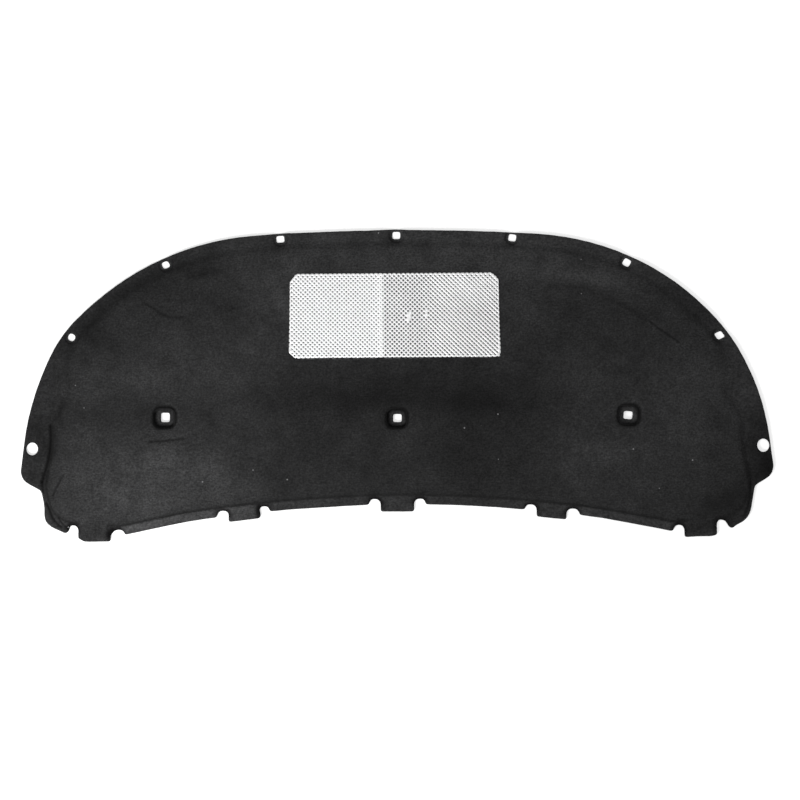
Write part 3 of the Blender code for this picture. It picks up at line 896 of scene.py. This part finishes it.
def dot_grid(low, high):
    """Centres of two crossed grids of dots, from the middle of the sheet to its ends."""
    centre = (low + high) / 2
    columns = int((high[0] - low[0]) / DOT_ACROSS / 2) + 1
    rows = int((high[1] - low[1]) / DOT_ALONG / 2) + 1
    spots = np.array([
        (centre[0] + (i + shift) * DOT_ACROSS, centre[1] + (j + shift) * DOT_ALONG)
        for shift in (0.0, 0.5)
        for i in range(-columns, columns + 1)
        for j in range(-rows, rows + 1)
    ])
    return spots[np.all((spots > low - DOT_BEYOND) & (spots < high + DOT_BEYOND), axis=1)]


def bitten(outline, spots, radii):
    """The outline with a shallow bite wherever the sheet was cut through a dot."""
    nearest = Nearness(spots).index(outline)
    inward = left_normals(outline)
    away = spots[nearest] - outline
    depth = (away * inward).sum(1)
    aside = np.abs(away[:, 0] * inward[:, 1] - away[:, 1] * inward[:, 0])
    radius = radii[nearest]
    reach = depth + np.sqrt(np.maximum(radius ** 2 - aside ** 2, 0))
    cut = (aside < radius) & (np.hypot(depth, aside) < radius + DOT_EDGE_MARGIN)
    return outline + inward * np.where(cut, np.maximum(reach, 0) * BITE_SHARE, 0)[:, None]


def make_foil(felt):
    """The perforated sheet, laid over the felt."""
    outline = even_loop(flat_loops("foil_heat_shield", FOIL_TOP)[0], FOIL_EDGE_SPACING, 0)
    outline = lie(ragged(outline, FOIL_RAGGED), FOIL_SHIFTS)
    to_edge = Nearness(even_loop(outline, FOIL_RIM_SPACING, 0))
    spots = dot_grid(outline.min(0), outline.max(0))
    spots = spots[~pressed_shut(spots)]
    radii = dot_radius(spots)
    whole = to_edge(spots) > radii * DOT_EDGE_SHARE + DOT_EDGE_MARGIN
    kept = whole & inside_loop(spots, outline)
    outline = bitten(outline, spots[~kept], radii[~kept])
    turns = 2 * pi * (np.arange(DOT_SIDES) + 0.5) / DOT_SIDES
    circle = np.stack([np.cos(turns), np.sin(turns)], 1)
    holes = [
        spot + circle @ dot_stretch(spot) * radius
        for spot, radius in zip(spots[kept], radii[kept])
    ]
    between = spots + np.array((DOT_ACROSS / 2, 0.0))
    between = between[inside_loop(between, outline)]
    between = between[to_edge(between) > BETWEEN_EDGE_MARGIN]
    places, triangles, _ = triangulated([outline] + holes, between)

    heights = felt_under(felt, places)
    passes = np.full(len(places), FOIL_PASSES)
    heights = mesh_smoother(triangles, len(places))(heights, passes)
    heights = heights + FOIL_GAP + foil_folds(places)
    data = bpy.data.meshes.new("foil")
    corners = [(x * MM, y * MM, z * MM) for (x, y), z in zip(places, heights)]
    data.from_pydata(corners, [], triangles)
    foil = dressed("foil", data, foil_tone_and_highlight(places), foil_material())
    skin = foil.modifiers.new("skin", "SOLIDIFY")
    skin.thickness = FOIL_SKIN * MM
    skin.offset = 1.0
    return foil


def felt_under(felt, places):
    """The felt's highest point close to each place."""
    corners = [v.co / MM for v in felt.data.vertices]
    tree = BVHTree.FromPolygons(corners, [tuple(p.vertices) for p in felt.data.polygons])
    heights = np.zeros(len(places))
    for dx, dy in ((0, 0), (FOIL_FOOT, 0), (-FOIL_FOOT, 0), (0, FOIL_FOOT), (0, -FOIL_FOOT)):
        for index, (x, y) in enumerate(places):
            point = tree.ray_cast(Vector((x + dx, y + dy, ABOVE)), DOWN)[0]
            if point:
                heights[index] = max(heights[index], point.z)
    return heights


def foil_folds(places):
    """Height of the ridge, the two dents, the ripples and the fan of low waves."""
    x, y = places[:, 0], places[:, 1]
    folds = RIDGE_HEIGHT * hump(x - FOIL_RIDGE, RIDGE_WIDTH)
    for height, place in DENTS:
        folds = folds + height * bell(places, *place)
    ripples = grain(places * (1.0, 0.5), RIPPLE_SIZE, RIPPLE_SEED)
    folds = folds + (RIPPLE_HEIGHT + RIPPLE_HEIGHT * ripples)
    waves = 1 + np.sin((x + FAN_SLANT * y) / FAN_LENGTH)
    return folds + FAN_HEIGHT * waves * rise(x - FAN_START, FAN_RUN)


def foil_tone_and_highlight(places):
    """The sheet darkens towards its right end, with a painted highlight along its ridge."""
    from_ridge = places[:, 0] - FOIL_RIDGE
    run, darkening = DARKER_MIDDLE
    start, far_run, far_darkening = DARKER_RIGHT
    tone = 1 - darkening * rise(from_ridge, run) - far_darkening * rise(places[:, 0] - start, far_run)
    return tone + RIDGE_PAINTED_HIGHLIGHT * hump(from_ridge, RIDGE_SHINE_WIDTH)


BLACK = (0.0, 0.0, 0.0, 1.0)
WHITE = (1.0, 1.0, 1.0, 1.0)
NOISE_ROUGHNESS = 0.6


class Graph:
    """A material's nodes, with short calls to add and join them."""

    def __init__(self, name):
        self.material = bpy.data.materials.new(name)
        self.material.use_nodes = True
        self.tree = self.material.node_tree
        self.shader = self.tree.nodes["Principled BSDF"]
        self.output = self.tree.nodes["Material Output"]

    def add(self, kind, settings=None, **sockets):
        node = self.tree.nodes.new(kind)
        for key, value in (settings or {}).items():
            setattr(node, key, value)
        for key, value in sockets.items():
            self.put(node.inputs[key.replace("_", " ")], value)
        return node

    def put(self, socket, value):
        if isinstance(value, bpy.types.NodeSocket):
            self.tree.links.new(value, socket)
        else:
            socket.default_value = value

    def surface(self, **sockets):
        """Sets or joins the shader's own sockets."""
        for key, value in sockets.items():
            self.put(self.shader.inputs[key.replace("_", " ")], value)

    def math(self, operation, a, b):
        node = self.add("ShaderNodeMath", {"operation": operation})
        self.put(node.inputs[0], a)
        self.put(node.inputs[1], b)
        return node.outputs[0]

    def product(self, first, *others):
        for other in others:
            first = self.math("MULTIPLY", first, other)
        return first

    def weighted(self, *pairs):
        """The sum of some values, each times its weight."""
        total = self.product(*pairs[0])
        for pair in pairs[1:]:
            total = self.math("ADD", total, self.product(*pair))
        return total

    def ramp(self, value, low, high, out_low, out_high):
        node = self.add("ShaderNodeMapRange")
        keys = ("Value", "From Min", "From Max", "To Min", "To Max")
        for key, item in zip(keys, (value, low, high, out_low, out_high)):
            self.put(node.inputs[key], item)
        return node.outputs["Result"]

    def blend(self, share, first, second):
        node = self.add("ShaderNodeMix", {"data_type": "RGBA"})
        for index, item in ((0, share), (6, first), (7, second)):
            self.put(node.inputs[index], item)
        return node.outputs[2]

    def place(self):
        return self.add("ShaderNodeTexCoord").outputs["Object"]

    def tone(self):
        return self.add("ShaderNodeAttribute", {"attribute_name": "tone"}).outputs["Fac"]

    def noise(self, scale, detail, turn=0.0, stretch=(1.0, 1.0, 1.0)):
        mapping = self.add("ShaderNodeMapping", Vector=self.place(), Scale=stretch)
        mapping.inputs["Rotation"].default_value = (0.0, 0.0, turn)
        texture = self.add("ShaderNodeTexNoise", Vector=mapping.outputs[0], Scale=scale, Detail=detail)
        texture.inputs["Roughness"].default_value = NOISE_ROUGHNESS
        return texture.outputs["Fac"]

    def bump(self, height, strength, distance):
        node = self.add("ShaderNodeBump", Height=height, Strength=strength, Distance=distance)
        self.surface(Normal=node.outputs[0])


# Felt: its colour and the share of it that shows at tone 1
FELT_PALE = (0.200, 0.200, 0.203, 1.0)
FELT_SHARE = 0.105

# Noises of the felt: scale and detail, and how its strands are turned and drawn out
CLUMPS = (300.0, 3.0)
FUZZ = (900.0, 2.0)
MOTTLE = (34.0, 3.0)
CLOUD = (9.0, 2.0)
STRANDS = (420.0, 2.0)
STRAND_TURNS = (0.6, 2.3)
STRAND_STRETCH = (0.22, 2.2, 1.0)

# What a noise does: its low and high value, and what comes out there
CLUMP_TONE = (0.32, 0.68, 0.62, 1.38)
STRAND_TONE = (0.45, 0.72, 0.82, 1.26)
FUZZ_TONE = (0.3, 0.7, 0.80, 1.20)
MOTTLE_TONE = (0.3, 0.7, 0.80, 1.20)
CLOUD_TONE = (0.35, 0.65, 0.90, 1.10)
CLUMP_ROUGHNESS = (0.3, 0.7, 0.98, 0.88)

# Specks of lint: cells in a metre, size in a cell, share of cells without one, brightness
LINT_CELLS = 70.0
LINT_SIZE = 0.09
LINT_MISSING = 0.96
LINT_GLOW = 8.0

# Foil: its colour, its noises and what they do, as for the felt
FOIL_BRIGHT = (0.755, 0.755, 0.758, 1.0)
HANDLING = (45.0, 3.0)
PITTING = (600.0, 2.0)
ROLLING = (120.0, 2.0)
ROLLING_STRETCH = (0.15, 2.0, 1.0)
FOIL_SHADE = (0.35, 0.65, 0.94, 1.0)
FOIL_ROUGHNESS = (0.3, 0.7, 0.36, 0.50)


def felt_material():
    """Pressed black fibres: matted clumps, crossing strands, dust and a few specks of lint."""
    g = Graph("felt_fibres")
    clumps = g.noise(*CLUMPS)
    fuzz = g.noise(*FUZZ)
    mottle = g.noise(*MOTTLE)
    cloud = g.noise(*CLOUD)
    strands = g.math("MAXIMUM", *[g.noise(*STRANDS, turn, STRAND_STRETCH) for turn in STRAND_TURNS])
    # The attribute adds painted light and shade of the relief, the lip and the patches to the fibres'
    # own tone
    tone = g.product(
        g.ramp(clumps, *CLUMP_TONE),
        g.ramp(strands, *STRAND_TONE),
        g.ramp(fuzz, *FUZZ_TONE),
        g.ramp(mottle, *MOTTLE_TONE),
        g.ramp(cloud, *CLOUD_TONE),
        g.tone(),
    )
    cells = g.add("ShaderNodeTexVoronoi", Vector=g.place(), Scale=LINT_CELLS)
    close = g.math("LESS_THAN", cells.outputs["Distance"], LINT_SIZE)
    number = g.add("ShaderNodeSeparateColor", Color=cells.outputs["Color"]).outputs[0]
    chosen = g.math("GREATER_THAN", number, LINT_MISSING)
    tone = g.math("ADD", tone, g.product(close, chosen, LINT_GLOW))
    g.surface(
        Base_Color=g.blend(g.product(tone, FELT_SHARE), BLACK, FELT_PALE),
        Roughness=g.ramp(clumps, *CLUMP_ROUGHNESS),
        Specular_IOR_Level=0.08,
        Sheen_Weight=0.03,
        Sheen_Roughness=0.5,
    )
    height = g.weighted((clumps, 0.6), (strands, 0.5), (fuzz, 0.25))
    g.bump(height, strength=0.7, distance=0.001)
    return g.material


def foil_material():
    """Bright rolled aluminium with soft handling marks."""
    g = Graph("bright_foil")
    wide = g.noise(*HANDLING)
    small = g.noise(*PITTING)
    rolled = g.noise(*ROLLING, 0.0, ROLLING_STRETCH)
    shade = g.weighted((wide, 0.7), (rolled, 0.3))
    # The attribute adds the painted highlight along the ridge and the darkening towards the right
    bright = g.product(g.ramp(shade, *FOIL_SHADE), g.tone())
    g.surface(
        Base_Color=g.blend(bright, BLACK, FOIL_BRIGHT),
        Metallic=0.8,
        Roughness=g.ramp(small, *FOIL_ROUGHNESS),
    )
    g.bump(g.weighted((wide, 0.7), (small, 0.1)), strength=0.25, distance=0.001)
    return g.material


def seen_share(tree):
    """1 for rays from the camera, a mirror or glass, and 0 for rays that light a surface."""
    path = tree.nodes.new("ShaderNodeLightPath")
    value = path.outputs["Is Camera Ray"]
    for name in ("Is Glossy Ray", "Is Transmission Ray"):
        either = tree.nodes.new("ShaderNodeMath")
        either.operation = "MAXIMUM"
        tree.links.new(value, either.inputs[0])
        tree.links.new(path.outputs[name], either.inputs[1])
        value = either.outputs[0]
    return value


# Floor, lamps and world: lengths in metres, lamp power in watts
FLOOR_SIZE = 12
FLOOR_DROP = 0.0002
FLOOR_COLOUR = (0.8, 0.8, 0.8, 1.0)
FLOOR_LIFT = 0.50
WORLD_LIGHT = 0.34
LAMPS = (
    ("key", (-1.15, -1.35, 1.25), 42, 0.9),
    ("fill", (1.3, 1.1, 2.2), 12, 1.5),
)


def make_floor():
    """A pale floor that reads white, with the object's shadow left on it."""
    bpy.ops.mesh.primitive_plane_add(size=FLOOR_SIZE, location=(0, 0, -FLOOR_DROP))
    floor = bpy.context.object
    floor.name = "floor"
    g = Graph("floor_white")
    g.surface(Base_Color=FLOOR_COLOUR, Roughness=0.9, Specular_IOR_Level=0.0)
    glow = g.add("ShaderNodeEmission", Strength=g.product(seen_share(g.tree), FLOOR_LIFT))
    both = g.add("ShaderNodeAddShader")
    g.tree.links.new(g.shader.outputs[0], both.inputs[0])
    g.tree.links.new(glow.outputs[0], both.inputs[1])
    g.tree.links.new(both.outputs[0], g.output.inputs["Surface"])
    floor.data.materials.append(g.material)


def make_world():
    """A plain white studio that looks white and lights the object softly."""
    world = bpy.data.worlds.new("studio")
    bpy.context.scene.world = world
    world.use_nodes = True
    tree = world.node_tree
    background = tree.nodes["Background"]
    background.inputs["Color"].default_value = WHITE
    amount = tree.nodes.new("ShaderNodeMapRange")
    tree.links.new(seen_share(tree), amount.inputs["Value"])
    amount.inputs["To Min"].default_value = WORLD_LIGHT
    amount.inputs["To Max"].default_value = 1.0
    tree.links.new(amount.outputs["Result"], background.inputs["Strength"])


def make_lamp(name, place, power, size):
    """A round soft lamp that faces the object."""
    lamp = bpy.data.lights.new(name, "AREA")
    lamp.energy = power
    lamp.shape = "DISK"
    lamp.size = size
    holder = added(name, lamp)
    holder.location = place
    holder.rotation_euler = (-Vector(place)).to_track_quat("-Z", "Y").to_euler()
    holder.visible_camera = False


# Camera: lens and sensor in millimetres, the rest in metres
CAMERA_LENS = 85
CAMERA_SENSOR = 36
CAMERA_TURN = radians(-0.442)
CAMERA_PLACE = (0.0058, -0.0259)
FLANGE_LEVEL = 0.005
FRAME_WIDTH = 1.36 / 1.0032


def make_camera():
    """The camera straight above the pad, where its frame is that wide at the flange's level."""
    lens = bpy.data.cameras.new("camera")
    lens.lens = CAMERA_LENS
    lens.sensor_width = CAMERA_SENSOR
    camera = added("camera", lens)
    camera.location = (*CAMERA_PLACE, FRAME_WIDTH * CAMERA_LENS / CAMERA_SENSOR + FLANGE_LEVEL)
    camera.rotation_euler = (0, 0, CAMERA_TURN)
    bpy.context.scene.camera = camera


def main():
    felt = make_felt()
    foil = make_foil(felt)
    pieces = ((felt, "felt_pad", "black_felt"), (foil, "foil_heat_shield", "aluminium_foil"))
    for piece, node, slot in pieces:
        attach(piece, "root")
        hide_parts(node)
    make_floor()
    make_world()
    for lamp in LAMPS:
        make_lamp(*lamp)
    make_camera()
    bpy.context.scene.view_settings.view_transform = "Standard"


main()
